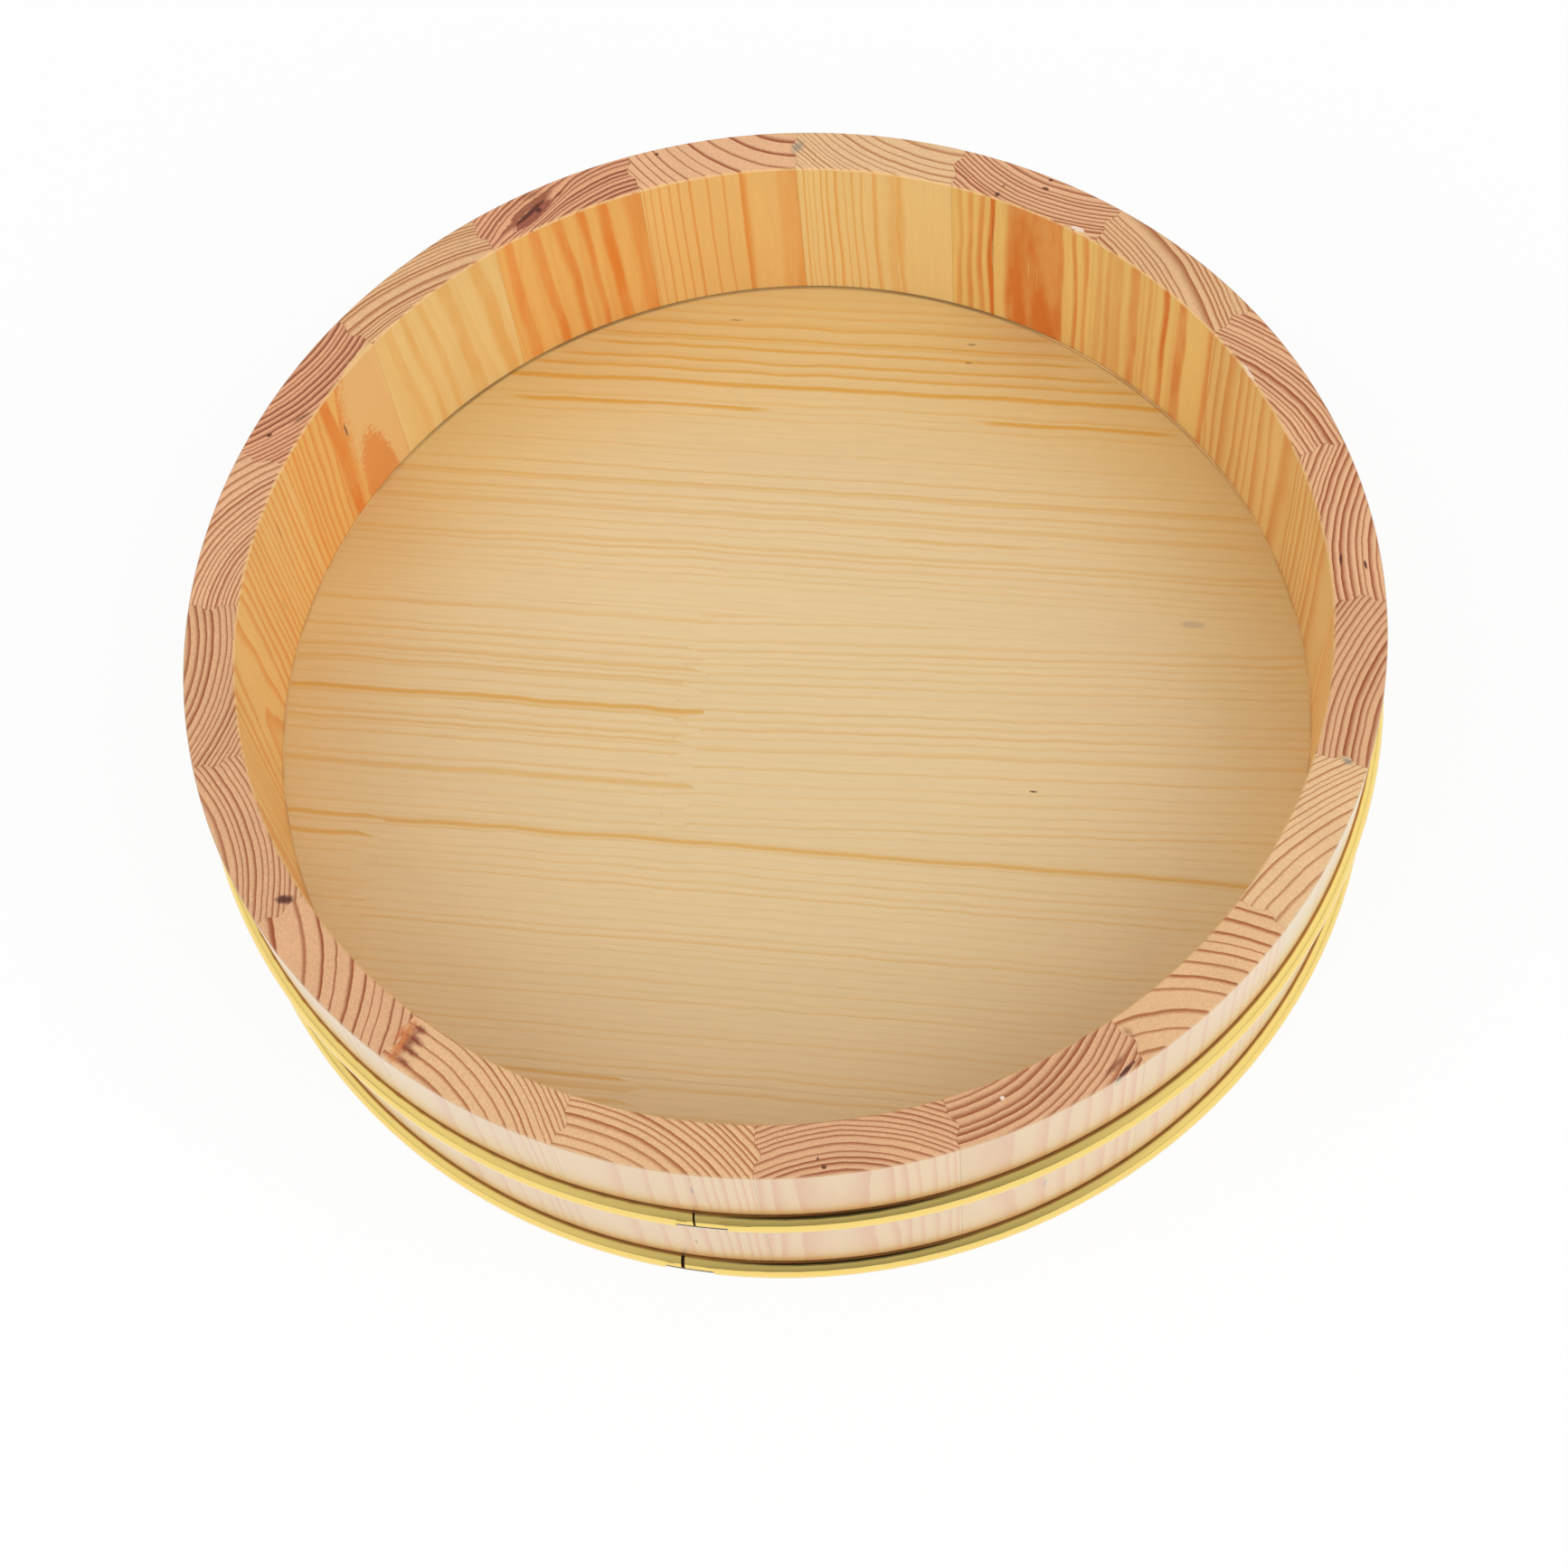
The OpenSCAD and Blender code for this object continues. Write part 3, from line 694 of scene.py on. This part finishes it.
# One entry a board: seed, ring spacing, slope of its rings and its heavier rings.
floor_boards = {
    "floor_back": (11.0, 3.4, 0.0, [
        (111, 1.4, 1.0, -101, 102), (134, 0.9, 0.7, -60, 60), (129, 0.9, 0.8, -70, 70),
        (125, 0.9, 0.9, -70, 70), (120, 0.9, 0.9, -80, 80), (116, 0.9, 0.9, -90, 90)]),
    "floor_far": (12.0, 2.8, 0.0, [
        (102.2, 1.3, 1.0, -93, -27), (102.2, 1.3, 1.0, 54, 99), (73.5, 1.0, 0.5, -130, 130),
        (68.5, 0.9, 0.4, -130, 130), (63, 0.9, 0.4, -130, 130), (57.7, 1.1, 0.5, 30, 60),
        (51.8, 0.9, 0.4, -140, 140)]),
    "floor_middle_left": (13.0, 3.2, 0.0, [
        (8.5, 0.9, 0.5, -150, -20), (4.3, 0.9, 0.5, -150, -20), (-5.7, 1.3, 0.9, -150, -25),
        (-15.7, 0.9, 0.5, -150, -20), (-30, 1.6, 0.5, -150, -20)]),
    "floor_middle_right": (14.0, 3.0, 0.045, []),
    "floor_near_left": (15.0, 3.0, 0.0, [
        (-47.3, 1.2, 0.8, -150, -112), (-53, 1.2, 0.8, -150, -112)]),
    "floor_near_right": (16.0, 2.6, 0.0, [(-48, 1.2, 0.8, -112, 134)]),
    "floor_front_left": (17.0, 2.8, 0.0, [
        (-120.8, 1.0, 0.75, -120, -31), (-124.2, 0.9, 0.5, -120, -31),
        (-127.6, 1.2, 0.55, -120, -31)]),
    "floor_front_right": (18.0, 2.6, 0.0, []),
}
floor_flecks = {
    "floor_back": [((-33.5, 135.7), (2.4, 0.4), 0.5, bark), ((41.5, 131.3), (1.8, 0.5), 0.6, bark),
                   ((41.2, 124.3), (1.6, 0.4), 0.6, bark)],
    "floor_far": [((115.0, 35.6), (4.5, 1.4), 0.35, grey_stain)],
    "floor_middle_right": [((72.8, -23.2), (1.5, 0.4), 0.9, bark)],
}
for name, (seed, spacing, slope, lines) in floor_boards.items():
    flecks = floor_flecks.get(name, [])
    board_pine = board_material(name, seed, spacing, slope, lines, flecks)
    nodes[name].material_slots[0].material = board_pine


# Glue
# Wood glue, spread on the strips' edges before they were clamped and flush with the top. It
# is thickest at the finger joints, where the model's strips run narrow.

glue_top = floor_top - 0.001
glue_bottom = 12.9
glue_reach = 153.0
board_end = 165.0
# One line a joint: its back and front edge across the grain, where along the grain the
# front strip has its finger joint, and how narrow that strip runs there.
glue_joints = [
    (103.08, 103.03, 0.0, 0.0),
    (28.725, 28.675, -33.3, 0.35),
    (-45.575, -45.625, -121.3, 0.29),
    (-119.815, -119.87, -34.8, 0.37),
]


def glue_lines():
    """One upright sheet a joint, with u along the grain and v across it. Its back edge is
    straight and its front edge is bent at the finger joint: v falls in a line from the
    board's end to there. The ends lie on a circle: u = +-sqrt(reach^2 - v^2)."""
    back, front, bend, extra = np.array(glue_joints).T
    end = np.sqrt(glue_reach ** 2 - back ** 2)
    left_low = front - extra * (board_end - end) / (board_end + bend)
    right_low = front - extra * (board_end - end) / (board_end - bend)
    u = np.stack([-end, np.clip(bend, -end, end), end, end, -end], 1)
    v = np.stack([left_low, front - extra, right_low, back, back], 1)
    turn = math.radians(floor_grain)
    x = u * math.cos(turn) - v * math.sin(turn)
    y = u * math.sin(turn) + v * math.cos(turn)
    low = np.stack([x, y, np.full_like(x, glue_bottom)], -1)
    high = np.stack([x, y, np.full_like(x, glue_top)], -1)
    points = np.concatenate([low, high], 1).reshape(-1, 3) / 1000
    k = np.arange(5)
    after = (k + 1) % 5
    sides = np.stack([k, after, after + 5, k + 5], 1)
    faces = []
    for first in 10 * np.arange(len(glue_joints)):
        faces += [first + k[::-1], first + k + 5, *(first + sides)]
    return new_mesh("glue_lines", points, faces)


def glue_material():
    """Dried glue in cloudy tans close to the wood's."""
    material, tree, glue = new_material("dried_glue")
    tone = cloudy(tree, stretch(tree, board_place(tree), 0.1, 1, 1), 0.3, 2.0)
    tan = blend(tree, tone, swatch(222, 194, 142), swatch(230, 202, 150))
    feed(tree, glue.inputs["Base Color"], tan)
    glue.inputs["Roughness"].default_value = 0.5
    return material


glue = glue_lines()
glue.data.materials.append(glue_material())
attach(glue, "root")


# Lacquer round the floor
# Clear lacquer, taken to have run into the gap between floor and wall and dried to a small
# hollow fillet. The gap shows dark only along the back, so it is open there.

fillet_foot = 22.1
# Distance from the middle and height: out along the foot, up the wall, down the hollow.
fillet_profile = np.array([[150.22, fillet_foot], [150.68, fillet_foot], [150.69, 23.0],
                           [150.55, 22.82], [150.4, 22.74], [150.22, 22.705]])
fillet_from = 134.0
fillet_to = 414.0
fillet_stations = 281
fillet_taper = 4.0


def lacquer_fillet():
    """The profile swept round the floor from one end of the open gap to the other:
    x = r cos a, y = r sin a. It thins out at both ends."""
    corners = len(fillet_profile)
    a = np.radians(np.linspace(fillet_from, fillet_to, fillet_stations))
    from_end = np.minimum(a - a[0], a[-1] - a)
    thin = np.clip(from_end / math.radians(fillet_taper), 0.05, 1)[:, None]
    r = np.broadcast_to(fillet_profile[:, 0], (len(a), corners))
    z = fillet_foot + thin * (fillet_profile[:, 1] - fillet_foot)
    points = np.stack([r * np.cos(a)[:, None], r * np.sin(a)[:, None], z], -1)
    step = corners * np.arange(len(a) - 1)[:, None]
    k = np.arange(corners)
    after = (k + 1) % corners
    around = np.stack([step + k, step + after, step + after + corners, step + k + corners], -1)
    return new_mesh("lacquer_fillet", points.reshape(-1, 3) / 1000,
                    around.reshape(-1, 4)[:, ::-1])


def lacquer_material():
    """Lacquer over wood, in cloudy tans."""
    material, tree, lacquer = new_material("pooled_lacquer")
    tone = cloudy(tree, stretch(tree, board_place(tree), 1, 1, 0), 0.08, 3.0)
    tan = blend(tree, rise(tree, tone, 0.35, 0.65), swatch(206, 156, 90), swatch(228, 184, 118))
    feed(tree, lacquer.inputs["Base Color"], tan)
    lacquer.inputs["Roughness"].default_value = 0.4
    lacquer.inputs["Coat Weight"].default_value = 0.1
    lacquer.inputs["Coat Roughness"].default_value = 0.3
    return material


fillet = lacquer_fillet()
fillet.data.materials.append(lacquer_material())
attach(fillet, "root")


# Hoops
# Two hoops of polished brass, bent from strip to a half round section that is open to the
# wall and driven on over the staves, with their ends butted.

def brass_material():
    """Polished brass with faint lines round the hoop, and brown along its top edge, a painted
    reflection of the wooden wall.
    """
    material, tree, metal = new_material("polished_brass")
    metal.inputs["Metallic"].default_value = 1.0
    spot = add(tree, "ShaderNodeTexCoord").outputs["Object"]
    split = add(tree, "ShaderNodeSeparateXYZ")
    tree.links.new(spot, split.inputs[0])
    reach = vector(tree, "LENGTH", stretch(tree, spot, 1, 1, 0))
    height = calc(tree, "MULTIPLY", split.outputs["Z"], 1000)
    lane = combine(tree, calc(tree, "MULTIPLY", reach, 1000), height, 0.0)
    drawn = cloudy(tree, lane, 5.0, 3.0)
    gold = blend(tree, drawn, swatch(244, 209, 114), swatch(254, 227, 140))
    # Painted reflection: the brown line along each hoop's top edge stands for the wooden wall
    # mirrored there.
    for top in hoop_creases:
        line = calc(tree, "MULTIPLY", rise(tree, height, top - 0.3, top - 0.12),
                    calc(tree, "LESS_THAN", height, top + 1))
        gold = blend(tree, calc(tree, "MULTIPLY", line, 0.85), gold, swatch(160, 84, 28))
    feed(tree, metal.inputs["Base Color"], gold)
    feed(tree, metal.inputs["Roughness"], calc(tree, "MULTIPLY_ADD", drawn, 0.1, 0.05))
    bump = add(tree, "ShaderNodeBump")
    bump.inputs["Distance"].default_value = 0.00002
    feed(tree, bump.inputs["Height"], drawn)
    feed(tree, metal.inputs["Normal"], bump.outputs["Normal"])
    return material


brass = brass_material()
for name in ("upper_hoop", "lower_hoop"):
    nodes[name].material_slots[0].material = brass


# Clips
# A bent strip of steel pushed into both ends of each hoop, which joins them. Only a small
# part of its face shows beside the seam, painted dark as a painted shade for the gap there.

hoop_middles = (46.4, 6.0)


def clip_material():
    """Steel painted dark with brown stains, a painted shade for the gap at the seam, and bright
    on the lower half of its face, a painted reflection of the white paper.
    """
    material, tree, metal = new_material("dark_steel")
    metal.inputs["Metallic"].default_value = 1.0
    spot = add(tree, "ShaderNodeTexCoord").outputs["Object"]
    split = add(tree, "ShaderNodeSeparateXYZ")
    tree.links.new(spot, split.inputs[0])
    height = calc(tree, "MULTIPLY", split.outputs["Z"], 1000)
    stain = cloudy(tree, stretch(tree, spot, 1000, 1000, 1000), 0.6, 3.0)
    # Painted shade: the dark colour stands for the shadow in the gap beside the seam.
    dark = blend(tree, stain, swatch(38, 28, 26), swatch(84, 58, 44))
    # Painted reflection: the lower half of the face is bright with the white paper it mirrors.
    reflected_white = 0.0
    for middle in hoop_middles:
        reflection_band = calc(tree, "MULTIPLY", rise(tree, height, middle - 0.2, middle + 0.2, 1.0, 0.0),
                      calc(tree, "GREATER_THAN", height, middle - 5))
        reflected_white = calc(tree, "ADD", reflected_white, reflection_band)
    feed(tree, metal.inputs["Base Color"], blend(tree, reflected_white, dark, swatch(236, 224, 206)))
    metal.inputs["Roughness"].default_value = 0.25
    return material


dark_steel = clip_material()
for name in ("upper_clip", "lower_clip"):
    nodes[name].material_slots[0].material = dark_steel

bpy.context.view_layer.update()
